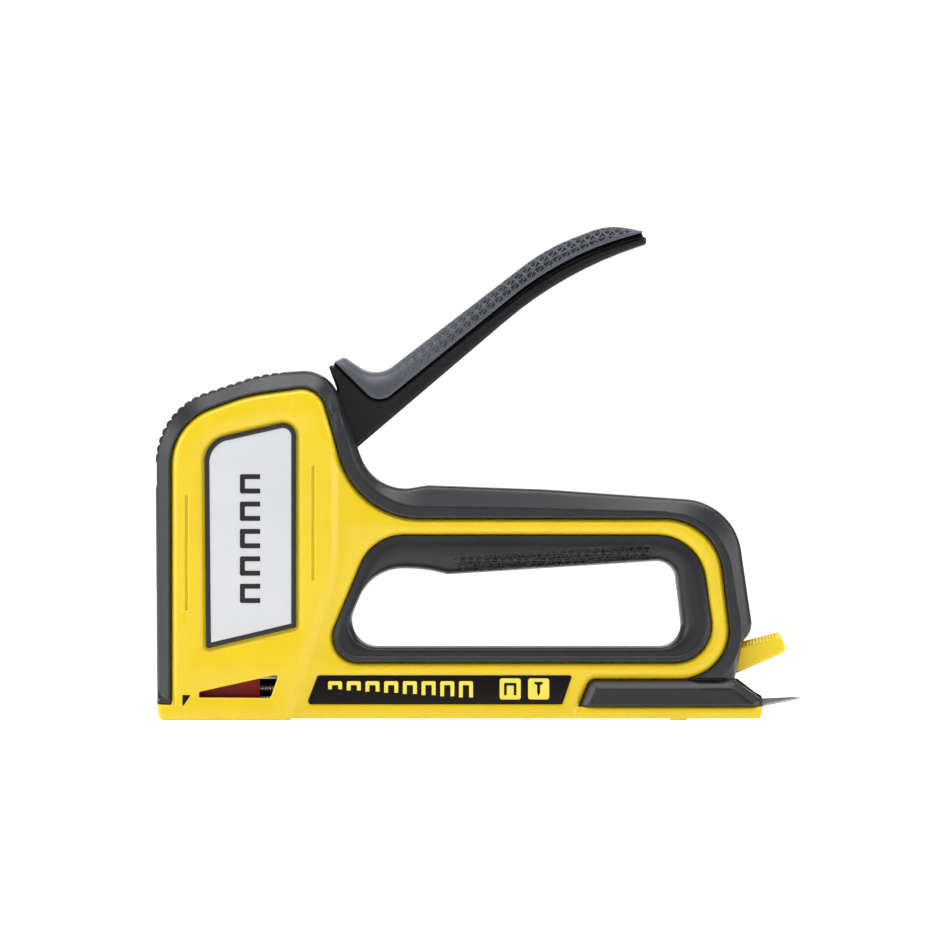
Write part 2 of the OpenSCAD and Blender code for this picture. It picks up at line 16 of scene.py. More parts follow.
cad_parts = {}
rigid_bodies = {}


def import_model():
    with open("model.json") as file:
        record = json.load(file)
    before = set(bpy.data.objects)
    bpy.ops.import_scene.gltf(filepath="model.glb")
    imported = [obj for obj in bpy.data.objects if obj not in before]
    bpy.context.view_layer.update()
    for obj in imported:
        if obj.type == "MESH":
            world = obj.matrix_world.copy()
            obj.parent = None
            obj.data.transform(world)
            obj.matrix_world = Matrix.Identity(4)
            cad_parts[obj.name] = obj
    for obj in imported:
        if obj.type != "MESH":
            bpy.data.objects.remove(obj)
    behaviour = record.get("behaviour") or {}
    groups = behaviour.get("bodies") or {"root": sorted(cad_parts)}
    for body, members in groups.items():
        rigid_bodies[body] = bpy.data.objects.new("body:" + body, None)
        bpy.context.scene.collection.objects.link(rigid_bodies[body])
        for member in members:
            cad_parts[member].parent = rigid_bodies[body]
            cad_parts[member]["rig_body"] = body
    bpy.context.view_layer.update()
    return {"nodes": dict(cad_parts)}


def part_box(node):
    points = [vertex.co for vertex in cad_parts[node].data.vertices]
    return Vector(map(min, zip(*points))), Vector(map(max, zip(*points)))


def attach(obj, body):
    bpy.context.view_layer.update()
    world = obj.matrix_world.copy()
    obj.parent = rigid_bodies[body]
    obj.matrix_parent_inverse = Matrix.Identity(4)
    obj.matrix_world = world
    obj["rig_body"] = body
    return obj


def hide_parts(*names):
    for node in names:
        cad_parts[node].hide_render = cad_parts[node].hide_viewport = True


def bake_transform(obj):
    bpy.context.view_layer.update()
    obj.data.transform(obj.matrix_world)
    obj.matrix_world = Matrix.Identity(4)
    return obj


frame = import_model()

MM = 0.001
LEFT, RIGHT = -1, 1
SIDE_NAME = {LEFT: "left", RIGHT: "right"}

# ----------------------------------------------------------
# Sizes in millimetres, taken over from the CAD frame
# ----------------------------------------------------------

SOLE = [
    [173.25, 0.45, 0.6], [151.2, 0.45, 0], [150.8, 0, 0], [146.2, 0, 0], [145.8, 0.45, 0],
    [32.5, 0.45, 0], [32, 0, 0], [-7.05, 0, 1.9],
]
BODY = [
    [-7.65, 4.95, 0], [-8.2, 93.15, 22.1], [23.7, 103.8, 45], [43.8, 105.15, 11],
    [56.8, 69.35, 14.5], [67.5, 69.35, 3], [73.5, 70.3, 6], [108.6, 69.05, 60],
    [165.2, 65.15, 18], [170.8, 27.15, 6], [167.85, 23.4, 1.5], [165.4, 12.1, 0.6],
    [173.3, 6.4, 1.5], [173.8, 4.05, 0],
] + SOLE
FACE = [
    [-7.65, 5.1, 0], [-3.5, 4.7, 0], [-3.5, 89, 18], [19.2, 97.3, 45], [40.95, 100.35, 7.5],
    [52.4, 60.4, 25], [160, 60.4, 17.5], [165.8, 12.15, 14.7], [122.1, 12.15, 2.5],
    [118.6, 4.05, 0], [173.8, 4.05, 0],
] + SOLE
LINER = [[57.15, 55.15, 14], [154.6, 55.15, 14.5], [159.9, 17.25, 11], [41.4, 17.25, 7.5]]
HAND = [
    [56.7, 45.3, 14], [72.3, 45.3, 40], [79.35, 43.55, 1.2], [147, 47.85, 5.7],
    [150, 22.1, 6.3], [46.9, 22.1, 7.6],
]
HEAD_ZONE = [[-20, -5, 0], [-20, 110, 0], [45.5, 110, 0], [45.5, 45, 30], [29.5, -5, 0]]
BADGE = [[6.5, 83.7, 8.3], [34.1, 89.95, 4], [34.1, 27.7, 0.8], [7.05, 21.25, 0.8]]
LABEL = [[40.5, 13.35, 1], [116.7, 13.35, 0.6], [113.7, 4.65, 0.6], [37.2, 4.65, 1]]
WINDOW = [[5, 8.4, 0.4], [28.8, 13.65, 0.6], [26.4, 6.6, 0.6], [5, 6.75, 0.4]]
DRIVE_MARK = [[0, 7.5, 0.2], [2.55, 7.5, 0.2], [0, 3.9, 0.2]]
BLOCK = [
    [118.6, -20, 0], [118.6, 4.05, 0], [122.1, 12.15, 2.5], [165.4, 12.15, 0.6], [173.3, 6.4, 1.5],
    [173.8, 4.05, 0], [173.8, -20, 0],
]
FLANGE = [[115.9, -20, 0], [116.9, 4.05, 0], [190, 4.05, 0], [190, -20, 0]]
LEVER_CORE = [
    [43.6, 106.3, 0.6], [45.1, 106.1, 0], [45.6, 107.1, 0], [58.6, 94.25, 5.5],
    [115.5, 140.5, 97], [137.6, 145.9, 0], [138, 144.8, 0], [138.9, 144.5, 0.5],
    [138.9, 142.5, 0.9], [114.4, 134.4, 118], [50.15, 79.75, 6], [40, 82, 4], [36.5, 90, 4],
    [40, 97, 4], [47, 97, 2],
]
PAD_TOP = [
    [45.6, 107.1, 0], [45.6, 107.5, 0.3], [48.4, 108.9, 1.2], [58.1, 102.4, 8.5], [109, 141.5, 60],
    [127.5, 148.6, 20], [138, 146.6, 0.3], [137.6, 145.9, 0],
]
PAD_FOOT = [[45.6, 107.1, 0], [58.6, 94.25, 5.5], [115.5, 140.5, 97], [137.6, 145.9, 0]]
LATCH = [
    [148.5, 14.5, 0.3], [148.5, 16.2, 1], [155, 18.6, 4], [159.5, 21, 3], [168.5, 23.6, 6],
    [178.9, 26.4, 1.6], [181, 21.2, 1.3], [179.6, 19.8, 3], [166.2, 14, 0.5], [163, 14.6, 2],
    [158, 15.8, 1], [152.2, 15.2, 0.5], [151.5, 14.5, 0.3],
]

# Hollows that run out from the split plane: outline and half width
ROOMS = [
    ([[-2.4, -9, 0], [-2.4, 45, 0], [0.9, 45, 0], [0.9, 15, 0], [190, 15, 0], [190, -9, 0]], 7.2),
    ([[32, 71, 0], [32, 97.5, 0], [39.6, 97.5, 1], [41.2, 112, 0], [80, 112, 0], [80, 76.3, 0],
      [50, 76.3, 2], [46, 71, 2]], 9.6),
    ([[147, 10, 0], [147, 19.2, 1], [157.5, 22, 1], [168.9, 24.3, 0.5], [190, 24.3, 0],
      [190, 10, 0]], 6.3),
    ([[-2.8, 43, 0], [-2.8, 85, 13], [16, 96, 6], [33, 98, 2], [33, 70, 2], [27, 62, 2],
      [27, 43, 1.5]], 12),
]
SCREWS = [[12, 29.5], [36.2, 28], [34.8, 55.5], [66, 58.8], [147, 57.5], [160.2, 34]]
SCREW_WELL_RADIUS = 3.1
SCREW_SEAT = 9.2

HEAD_HALF = 16.5
FRAME_HALF = 14.5

# ----------------------------------------------------------
# Outlines
# ----------------------------------------------------------


def unit(v):
    return v / np.linalg.norm(v)


def turned_left(v):
    return np.array([-v[1], v[0]])


def moved(corners, d):
    """The outline with every edge moved outwards by d, or inwards when d is negative."""
    result = []
    for i, (x, z, radius) in enumerate(corners):
        here = np.array([x, z], float)
        before = np.array(corners[i - 1][:2], float)
        after = np.array(corners[(i + 1) % len(corners)][:2], float)
        way_in, way_out = unit(here - before), unit(after - here)
        out_in, out_out = turned_left(way_in), turned_left(way_out)
        place = here + d * (out_in + out_out) / (1 + out_in @ out_out)
        convex = way_in[0] * way_out[1] - way_in[1] * way_out[0] < 0
        grown = max(0.0, radius + (d if convex else -d)) if radius else 0
        result.append([place[0], place[1], grown])
    return result


def corner_points(before, corner, after, step):
    """Points along one rounded corner, with at most step degrees between them."""
    here = np.array(corner[:2], float)
    radius = corner[2]
    if not radius:
        return [here]
    to_before = unit(np.array(before[:2]) - here)
    to_after = unit(np.array(after[:2]) - here)
    half = math.acos(np.clip(to_before @ to_after, -1, 1)) / 2
    centre = here + unit(to_before + to_after) * radius / math.sin(half)
    first = here + to_before * radius / math.tan(half) - centre
    start = math.atan2(first[1], first[0])
    cross = to_before[0] * to_after[1] - to_before[1] * to_after[0]
    sweep = -math.copysign(math.pi - 2 * half, cross)
    count = max(2, math.ceil(math.degrees(abs(sweep)) / step))
    angles = start + sweep * np.arange(count + 1) / count
    return [centre + radius * np.array([math.cos(a), math.sin(a)]) for a in angles]


def rounded(corners, step=4, closed=True):
    """The outline as points, its round corners drawn out."""
    points = []
    last = len(corners) - 1
    for i, corner in enumerate(corners):
        if not closed and i in (0, last):
            points.append(np.array(corner[:2], float))
            continue
        points += corner_points(corners[i - 1], corner, corners[(i + 1) % len(corners)], step)
    return np.array(points)


def divided(loop, spacing):
    """The loop with its long edges divided, so that a height function can bend them."""
    points = []
    for a, b in zip(loop, np.roll(loop, -1, axis=0)):
        count = max(1, math.ceil(np.linalg.norm(b - a) / spacing))
        points += [a + (b - a) * k / count for k in range(count)]
    return np.array(points)


def ring(corners, d=0.0, spacing=2.0, step=4):
    return divided(rounded(moved(corners, d) if d else corners, step), spacing)


def edge_distance(points, loop):
    """Distance from each point to the loop's nearest edge."""
    a, b = loop, np.roll(loop, -1, axis=0)
    along = b - a
    long_enough = (along ** 2).sum(axis=1) > 1e-12
    a, along = a[long_enough], along[long_enough]
    nearest = np.full(len(points), np.inf)
    for start in range(0, len(points), 4000):
        part = points[start:start + 4000, None, :] - a[None]
        share = np.clip((part * along).sum(-1) / (along ** 2).sum(-1), 0, 1)
        gap = part - share[..., None] * along
        nearest[start:start + 4000] = np.sqrt((gap ** 2).sum(-1)).min(axis=1)
    return nearest


def is_inside(points, loop):
    a, b = loop, np.roll(loop, -1, axis=0)
    x, z = points[:, 0:1], points[:, 1:2]
    spans = (a[:, 1] > z) != (b[:, 1] > z)
    rise = np.where(b[:, 1] == a[:, 1], 1e-12, b[:, 1] - a[:, 1])
    crossing = a[:, 0] + (z - a[:, 1]) * (b[:, 0] - a[:, 0]) / rise
    return ((spans & (x < crossing)).sum(axis=1) % 2).astype(bool)


def depth(points, corners):
    """How far inside the outline each point lies; negative outside."""
    loop = rounded(corners, 3)
    return edge_distance(points, loop) * np.where(is_inside(points, loop), 1, -1)


def ramp(value, low, high):
    """0 below low, 1 above high and a smooth rise between."""
    t = np.clip((value - low) / (high - low), 0, 1)
    return t * t * (3 - 2 * t)


def fillet(d, width, drop):
    """How much a rounded edge takes away at distance d from the edge."""
    inward = np.clip(1 - d / width, 0, 1)
    return drop * (1 - np.sqrt(1 - inward ** 2))


def valley(d, width, drop):
    """How much a flared edge takes away: steep at the edge and levelling out at the full width."""
    return drop * np.clip(1 - d / width, 0, 1) ** 1.6


def fillet_steps(width, count=5):
    """Distances from an edge at which a rounded edge needs points."""
    return [width * (1 - math.cos(math.pi / 2 * k / count)) for k in range(count + 1)]


# ----------------------------------------------------------
# Meshes
# ----------------------------------------------------------


def make_object(name, points, faces, body, material, slot, smooth_angle=32):
    """An object in the shared frame from points in millimetres, riding on a CAD body."""
    mesh = bpy.data.meshes.new(name)
    mesh.from_pydata([tuple(p) for p in np.asarray(points) * MM], [], [tuple(f) for f in faces])
    smooth_by_angle(mesh, smooth_angle)
    obj = bpy.data.objects.new(name, mesh)
    bpy.context.scene.collection.objects.link(obj)
    mesh.materials.append(material)
    if body:
        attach(obj, body)
    return obj


def smooth_by_angle(mesh, angle):
    """Smooth shading, with edges sharper than the angle kept sharp."""
    shape = bmesh.new()
    shape.from_mesh(mesh)
    bmesh.ops.recalc_face_normals(shape, faces=shape.faces)
    limit = math.radians(angle)
    for face in shape.faces:
        face.smooth = True
    for edge in shape.edges:
        edge.smooth = edge.is_manifold and edge.calc_face_angle(0) < limit
    shape.to_mesh(mesh)
    shape.free()


def plan(loops, keep, dots=()):
    """Triangles over the kept part of the side view, with every loop drawn as edges."""
    points, edges = [], []
    for loop in loops:
        first, count = len(points), len(loop)
        points += [Vector(p) for p in loop]
        edges += [(first + i, first + (i + 1) % count) for i in range(count)]
    points += [Vector(p) for p in dots]
    found = delaunay_2d_cdt(points, edges, [], 0, 1e-4)
    place = np.array([p[:] for p in found[0]])
    faces = np.array(found[2])
    a, b, c = (place[faces[:, k]] for k in range(3))
    area = (b[:, 0] - a[:, 0]) * (c[:, 1] - a[:, 1]) - (b[:, 1] - a[:, 1]) * (c[:, 0] - a[:, 0])
    faces = faces[(area > 1e-7) & keep((a + b + c) / 3)]
    used, compact = np.unique(faces, return_inverse=True)
    return place[used], compact.reshape(faces.shape)


def sculpt(name, drawn, front, back, side, body, material, slot, **options):
    """A closed solid between two heights over a plan. Heights count away from the split plane."""
    place, faces = drawn
    count = len(place)
    outer = np.column_stack([place[:, 0], side * front(place), place[:, 1]])
    inner = np.column_stack([place[:, 0], side * back(place), place[:, 1]])
    edges = [edge for a, b, c in faces for edge in ((a, b), (b, c), (c, a))]
    inside = set(edges)
    walls = [(b, a, a + count, b + count) for a, b in edges if (b, a) not in inside]
    solid = [tuple(f) for f in faces] + [tuple(f[::-1] + count) for f in faces] + walls
    if side == RIGHT:
        solid = [tuple(f[::-1]) for f in solid]
    return make_object(name, np.vstack([outer, inner]), solid, body, material, slot, **options)


ROOM_STEP = 0.04    # width in the plan of the step from a hollow's wall to the split plane


def room_half(points):
    """Half width of the hollow at each point, 0 where the half is solid to the split plane."""
    half = np.zeros(len(points))
    for corners, width in ROOMS:
        half = np.maximum(half, np.where(depth(points, corners) > ROOM_STEP / 2, width, 0))
    return half


ROOM_RINGS = [ring(corners, d, 6) for corners, _ in ROOMS for d in (0, -ROOM_STEP)]


def head_share(points):
    """0 on the grip and base, 1 on the head, with a soft shoulder between."""
    return ramp(depth(points, HEAD_ZONE), -1.7, 1.7)


SHOULDER_RINGS = [ring(HEAD_ZONE, d, 3) for d in (-1.7, -1.1, -0.4, 0.4, 1.1, 1.7)]

# ----------------------------------------------------------
# Materials
# ----------------------------------------------------------


def srgb(r, g, b):
    """A linear colour from 8-bit display values."""
    def linear(v):
        v /= 255
        return v / 12.92 if v <= 0.04045 else ((v + 0.055) / 1.055) ** 2.4
    return (linear(r), linear(g), linear(b), 1)


class Material:
    """A node material with helpers for the links that repeat."""

    def __init__(self, name, **values):
        self.material = bpy.data.materials.new(name)
        self.material.use_nodes = True
        self.tree = self.material.node_tree
        self.shader = self.tree.nodes["Principled BSDF"]
        for key, value in values.items():
            self.shader.inputs[key.replace("_", " ")].default_value = value
        self.coordinates = self.tree.nodes.new("ShaderNodeTexCoord").outputs["Object"]

    def node(self, kind, inputs=None, **settings):
        made = self.tree.nodes.new(kind)
        for key, value in settings.items():
            setattr(made, key, value)
        for key, value in (inputs or {}).items():
            if isinstance(value, bpy.types.NodeSocket):
                self.tree.links.new(value, made.inputs[key])
            else:
                made.inputs[key].default_value = value
        return made

    def noise(self, scale, detail=3, stretch=(1, 1, 1)):
        where = self.coordinates
        if stretch != (1, 1, 1):
            where = self.node("ShaderNodeMapping", {"Vector": where, "Scale": stretch}).outputs[0]
        return self.node("ShaderNodeTexNoise", {"Vector": where, "Scale": scale, "Detail": detail}).outputs[0]

    def spread(self, value, low, high, start=0.3, end=0.7):
        """Maps a 0 to 1 value to low to high."""
        mapped = self.node("ShaderNodeMapRange", {
            "Value": value, "From Min": start, "From Max": end, "To Min": low, "To Max": high,
        })
        return mapped.outputs[0]

    def colour_between(self, share, first, second):
        mix = self.node("ShaderNodeMix", data_type="RGBA")
        self.tree.links.new(share, mix.inputs[0])
        mix.inputs[6].default_value = first
        mix.inputs[7].default_value = second
        self.tree.links.new(mix.outputs[2], self.shader.inputs["Base Color"])

    def roughness(self, value):
        self.tree.links.new(value, self.shader.inputs["Roughness"])

    def bump(self, *layers):
        """Bump layers as (height, strength, distance in metres)."""
        normal = None
        for height, strength, distance in layers:
            inputs = {"Height": height, "Strength": strength, "Distance": distance}
            if normal is not None:
                inputs["Normal"] = normal
            normal = self.node("ShaderNodeBump", inputs).outputs[0]
        self.tree.links.new(normal, self.shader.inputs["Normal"])


def moulded(name, light, dark, rough, grain=0.25, gloss=0.5):
    """Moulded plastic: a fine spark-eroded grain, faint flow clouds and uneven gloss."""
    m = Material(name, IOR=1.5, Specular_IOR_Level=gloss)
    clouds = m.noise(60, 2)
    m.colour_between(m.spread(clouds, 0, 1), light, dark)
    m.roughness(m.spread(m.noise(900, 2), rough - 0.03, rough + 0.04))
    m.bump((m.noise(5200, 2), grain, 0.00004), (m.noise(220, 1), 0.08, 0.0002))
    return m.material


def soft_touch(name, light, dark, rough, gloss=0.5, grain=0.45):
    """Soft overmoulded rubber: matte, with a leathery micro grain."""
    m = Material(name, IOR=1.48, Specular_IOR_Level=gloss)
    m.colour_between(m.spread(m.noise(90, 4), 0, 1), light, dark)
    m.roughness(m.spread(m.noise(1200, 3), rough - 0.06, rough + 0.08))
    m.bump((m.noise(3400, 3), grain, 0.00008))
    return m.material


def steel(name, colour, rough, stretch=(1, 1, 1), streak=0.25):
    """Pressed or ground steel with fine streaks along its working direction."""
    m = Material(name, Metallic=1.0)
    streaks = m.noise(2200, 4, stretch)
    darker = tuple(0.72 * v for v in colour[:3]) + (1,)
    m.colour_between(m.spread(streaks, 0, 1), colour, darker)
    m.roughness(m.spread(m.noise(700, 2, stretch), rough - 0.08, rough + 0.12))
    m.bump((streaks, streak, 0.00003))
    return m.material


def film(name, light, dark, rough, gloss=0.5):
    """Printed film with a faint orange peel."""
    m = Material(name, IOR=1.5, Specular_IOR_Level=gloss)
    m.colour_between(m.spread(m.noise(35, 2), 0, 1), light, dark)
    m.roughness(m.spread(m.noise(1500, 2), rough - 0.05, rough + 0.05))
    m.bump((m.noise(1600, 2), 0.1, 0.00003))
    return m.material


YELLOW = moulded("shell_plastic", srgb(209, 181, 16), srgb(205, 176, 13), 0.32, 0.1)
TAB_YELLOW = moulded("tab_plastic", srgb(226, 195, 13), srgb(222, 189, 10), 0.33, 0.1)
COVER_GREY = soft_touch("cover_rubber", srgb(29, 30, 33), srgb(23, 24, 27), 0.35, 0.45)
LINER_BLACK = soft_touch("liner_rubber", srgb(29, 29, 32), srgb(24, 24, 27), 0.37, 0.36)
PAD_GREY = soft_touch("pad_rubber", srgb(66, 68, 77), srgb(58, 60, 69), 0.45)
CORE_BLACK = moulded("core_plastic", srgb(18, 18, 21), srgb(14, 14, 17), 0.38, 0.35, 0.22)
TRIM_BLACK = moulded("trim_plastic", srgb(36, 34, 33), srgb(30, 28, 27), 0.4, 0.15, 0.35)
SILVER = film("badge_film", srgb(190, 191, 194), srgb(183, 185, 189), 0.35, 0.4)
PRINT_BLACK = film("print_black", srgb(32, 31, 33), srgb(27, 26, 28), 0.45, 0.25)
LABEL_BLACK = film("label_film", srgb(16, 13, 12), srgb(13, 10, 9), 0.4, 0.12)
PRINT_YELLOW = film("print_yellow", srgb(222, 202, 70), srgb(218, 197, 64), 0.45)
RED = moulded("pusher_plastic", srgb(178, 20, 12), srgb(160, 16, 10), 0.5, 0.2)
PLATE_STEEL = steel("plate_steel", (0.62, 0.63, 0.65, 1), 0.32, (1, 12, 12))
PIN_STEEL = steel("pin_steel", (0.6, 0.61, 0.63, 1), 0.26, (14, 1, 14))
WIRE_STEEL = steel("wire_steel", (0.8, 0.8, 0.82, 1), 0.22)
BLADE_STEEL = steel("blade_steel", (0.42, 0.41, 0.40, 1), 0.34, (1, 16, 16), 0.4)
CASTING = moulded("zinc_casting", srgb(150, 152, 155), srgb(132, 134, 138), 0.5, 0.5)
BUFFER = soft_touch("buffer_rubber", srgb(40, 40, 42), srgb(34, 34, 36), 0.6)
SCREW_BLACK = steel("screw_oxide", (0.09, 0.09, 0.1, 1), 0.4)

# ----------------------------------------------------------
# Housing
# ----------------------------------------------------------

COVER_EDGE = (1.9, 2.2)     # width and drop of the flared edge along the cover
SOLE_DROP = 0.9             # the drop along the sole and under the rear block
LINER_EDGE = (1.6, 1.9)     # the same along the liner
SEAM = (0.45, 0.8)          # width and depth of the dark joint along the cover and the liner
WINDOW_ROUND = 0.5
RECESS_DEPTH = 1.0
LABEL_RECESS = 0.14
GROOVE_WIDTH, GROOVE_DEPTH = 1.5, 0.75
GROOVES = [(0.45, 32.5, 67.7), (38.35, 41.4, 76.3)]     # front edge, lower end, upper end


def groove_outline(x, low, high):
    radius = 0.45 * GROOVE_WIDTH
    right = x + GROOVE_WIDTH
    return [[x, high, radius], [right, high, radius], [right, low, radius], [x, low, radius]]


def circle(centre, radius, count=40):
    angles = -2 * math.pi * np.arange(count) / count
    return np.column_stack([centre[0] + radius * np.cos(angles), centre[1] + radius * np.sin(angles)])


def in_screw_well(points):
    found = np.zeros(len(points), bool)
    for x, z in SCREWS:
        found |= np.hypot(points[:, 0] - x, points[:, 1] - z) < SCREW_WELL_RADIUS - 0.01
    return found


def shell(side):
    """One yellow half, its face rounded along the cover, the liner and the window."""
    def front(p):
        y = FRAME_HALF + (HEAD_HALF - FRAME_HALF) * head_share(p)
        y += 0.5 * ramp(depth(p, FLANGE), 0, 0.9) * (1 - head_share(p))
        to_cover = depth(p, FACE)
        to_liner = -depth(p, LINER)
        along_cover = ramp(p[:, 1], 4.1, 5.5)
        y -= valley(to_cover, *COVER_EDGE) * along_cover
        y -= fillet(to_cover, COVER_EDGE[0], SOLE_DROP) * (1 - along_cover)
        y -= valley(to_liner, *LINER_EDGE)
        width, deep = SEAM
        y -= deep * along_cover * (1 - ramp(to_cover, 0, width))
        y -= deep * (1 - ramp(to_liner, 0, width))
        y -= fillet(-depth(p, WINDOW), WINDOW_ROUND, WINDOW_ROUND)
        y -= RECESS_DEPTH * ramp(depth(p, BADGE), -2.0, 0.1)
        y -= LABEL_RECESS * ramp(depth(p, LABEL), -0.6, 0)
        for groove in GROOVES:
            y -= GROOVE_DEPTH * ramp(depth(p, groove_outline(*groove)), 0, GROOVE_WIDTH / 2)
        if side == RIGHT:
            y = np.where(in_screw_well(p), SCREW_SEAT, y)
        return y

    steps = (0, 0.12, 0.25, 0.45, 0.7, 1.0, 1.3, 1.6)
    loops = [ring(FACE, -d) for d in steps + (COVER_EDGE[0],)]
    loops += [ring(LINER, d) for d in steps]
    loops += [ring(WINDOW, d, 1) for d in fillet_steps(WINDOW_ROUND, 3)]
    loops += [ring(BADGE, d) for d in (-0.1, 0.25, 0.6, 1.0, 1.5, 2.0)]
    loops += [ring(LABEL, d, 4) for d in (0, 0.3, 0.6)]
    loops += [ring(groove_outline(*groove), -d, 4) for groove in GROOVES for d in (0, 0.2, 0.4, 0.6)]
    loops += [ring(FLANGE, -d, 4) for d in (0, 0.25, 0.6, 0.9)]
    loops += SHOULDER_RINGS + ROOM_RINGS
    if side == RIGHT:
        for screw in SCREWS:
            loops += [circle(screw, SCREW_WELL_RADIUS), circle(screw, SCREW_WELL_RADIUS - 0.04)]

    def keep(p):
        return (depth(p, FACE) > 0) & (depth(p, LINER) < 0) & (depth(p, WINDOW) < 0)

    name = f"{SIDE_NAME[side]}_shell"
    piece = sculpt(name + "_form", plan(loops, keep), front, room_half, side,
                   "housing", YELLOW, "shell_yellow")
    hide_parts(name)


SCALLOP_PITCH = 2.8
SCALLOP_COUNT = 19
SCALLOP_FADE = 4            # the first and the last scallops fade over this length
SCALLOP_LOW, SCALLOP_REAR = 70, 36
CORNER_CENTRE = np.array([13.9, 77.25])
CORNER_RADIUS = 22.1
TOP_SLOPE = math.radians(18.5)
BUMP_REACH = 0.75           # two round bumps meet at this share of their radius
BUMP_FOOT = math.sqrt(1 - BUMP_REACH ** 2)


def scallop_travel(points):
    """Distance along the front corner and the top from where the scallops start."""
    across = points - CORNER_CENTRE
    angle = math.pi - np.arctan2(across[:, 1], across[:, 0])
    turn = math.pi / 2 - TOP_SLOPE
    along_top = across @ np.array([math.cos(TOP_SLOPE), math.sin(TOP_SLOPE)])
    on_corner = (angle < turn) & (across[:, 0] < 8)
    return np.where(on_corner, CORNER_RADIUS * angle, CORNER_RADIUS * turn + np.maximum(along_top, 0))


def scalloped(d, size):
    """The body's outline, moved inwards by d, with scallops of that depth around the front corner."""
    loop = divided(rounded(moved(BODY, -d), 1), 0.3)
    travel = scallop_travel(loop)
    reach = SCALLOP_PITCH * SCALLOP_COUNT
    in_zone = (loop[:, 1] > SCALLOP_LOW) & (loop[:, 0] < SCALLOP_REAR)
    on_ribs = in_zone & (travel > 0) & (travel < reach)
    tangent = np.roll(loop, -1, axis=0) - np.roll(loop, 1, axis=0)
    tangent /= np.linalg.norm(tangent, axis=1)[:, None]
    inward = np.column_stack([tangent[:, 1], -tangent[:, 0]])
    beside = (travel / SCALLOP_PITCH) % 1 - 0.5
    dip = 1 - (np.sqrt(1 - (2 * BUMP_REACH * beside) ** 2) - BUMP_FOOT) / (1 - BUMP_FOOT)
    ends = np.minimum(1, np.minimum(travel, reach - travel) / SCALLOP_FADE).clip(0, 1)
    ribbed = loop + inward * (size * dip * ends)[:, None]
    thinned = on_ribs | (np.arange(len(loop)) % 5 == 0) | (edge_turn(loop) > 0.004)
    return np.where(on_ribs[:, None], ribbed, loop)[thinned]


def edge_turn(loop):
    """How sharply the loop turns at each point, in radians."""
    before = loop - np.roll(loop, 1, axis=0)
    after = np.roll(loop, -1, axis=0) - loop
    cross = before[:, 0] * after[:, 1] - before[:, 1] * after[:, 0]
    return np.abs(np.arctan2(cross, (before * after).sum(axis=1)))


COVER_RISE = 0.15           # the cover's flat band stands this far above the bare shell
HEAD_SINK = 0.7             # and on the head it lies this much lower than that
HEAD_BAND = 0.7             # width of the band on the head
# Width of the band elsewhere, as places and widths: by x along the grip, by z up the rear column
GRIP_BAND = ([62, 99, 146], [3.6, 3.1, 1.9])
COLUMN_BAND = ([15, 30, 50, 60], [3.9, 3.4, 2.5, 1.9])
COLUMN_ZONE = (150, 162)    # the grip passes into the column between these x
GRIP_DROP, HEAD_DROP = 3.1, 5.0     # fall of the bevel from the band to the outer edge
COVER_LIP = (0.5, 0.7)      # width and drop of the rounding beside the bare shell
RIM_WIDTH, RIM_DROP = 1.0, 1.8
BLOCK_RISE = 0.9
BLOCK_BEVEL = (2.9, 2.3)    # width and drop of the bevel around the rear block
BLOCK_CURVE = 1.15          # above 1, the bevel is slightly hollow
BLOCK_FRONT, BLOCK_TOP = 117, 12.15


def cover(side):
    """Soft cover: a flat band along the bare shell, then a bevel down to a rounded outer edge."""
    def front(p):
        head = head_share(p)
        outer = np.maximum(depth(p, BODY), 0)
        border = np.maximum(-depth(p, FACE), 0)
        band = np.interp(p[:, 0], *GRIP_BAND)
        on_column = ramp(p[:, 0], *COLUMN_ZONE)
        band += (np.interp(p[:, 1], *COLUMN_BAND) - band) * on_column
        band += (HEAD_BAND - band) * head
        fall = np.clip((border - band) / np.maximum(outer + border - band, 0.1), 0, 1)
        y = FRAME_HALF + COVER_RISE + (HEAD_HALF - FRAME_HALF - HEAD_SINK) * head
        y -= (GRIP_DROP + (HEAD_DROP - GRIP_DROP) * head) * fall
        width, drop = BLOCK_BEVEL
        to_edge = np.clip(depth(p, BLOCK) / width, 0, 1)
        block = FRAME_HALF + BLOCK_RISE - drop * (1 - to_edge) ** BLOCK_CURVE
        on_block = (p[:, 0] > BLOCK_FRONT) * (1 - ramp(p[:, 1], BLOCK_TOP - 0.1, BLOCK_TOP + 0.5))
        y += (block - y) * on_block
        y -= fillet(border, *COVER_LIP)
        at_sole = (p[:, 1] < 4.6) & (p[:, 0] > 100)
        return y - np.where(at_sole, 0, fillet(outer, RIM_WIDTH, RIM_DROP))

    edges = [(0, 0.7), (0.06, 0.66), (0.2, 0.6), (0.42, 0.5), (0.75, 0.36), (1.2, 0.18), (1.8, 0)]
    loops = [scalloped(d, size) for d, size in edges]
    steps = (0, 0.06, 0.2, 0.5, HEAD_BAND, 1.2, 1.6, 1.9, 2.2, 2.5, 2.8, 3.1, 3.4, 3.7, 4.0, 4.6)
    loops += [ring(FACE, d, 1.6) for d in steps]
    loops += [ring(BLOCK, -d, 3) for d in (0, 0.4, 0.9, 1.4, 1.9, 2.4, 2.9)]
    for z in (BLOCK_TOP - 0.1, BLOCK_TOP + 0.2, BLOCK_TOP + 0.5):
        loops.append(np.array([[118, z], [175, z], [175, z + 0.01], [118, z + 0.01]]))
    loops += SHOULDER_RINGS + ROOM_RINGS
    outline = scalloped(0, 0.7)

    def keep(p):
        return is_inside(p, outline) & (depth(p, FACE) < 0)

    name = f"{SIDE_NAME[side]}_cover"
    piece = sculpt(name + "_form", plan(loops, keep), front, room_half, side,
                   "housing", COVER_GREY, "soft_grey")
    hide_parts(name)


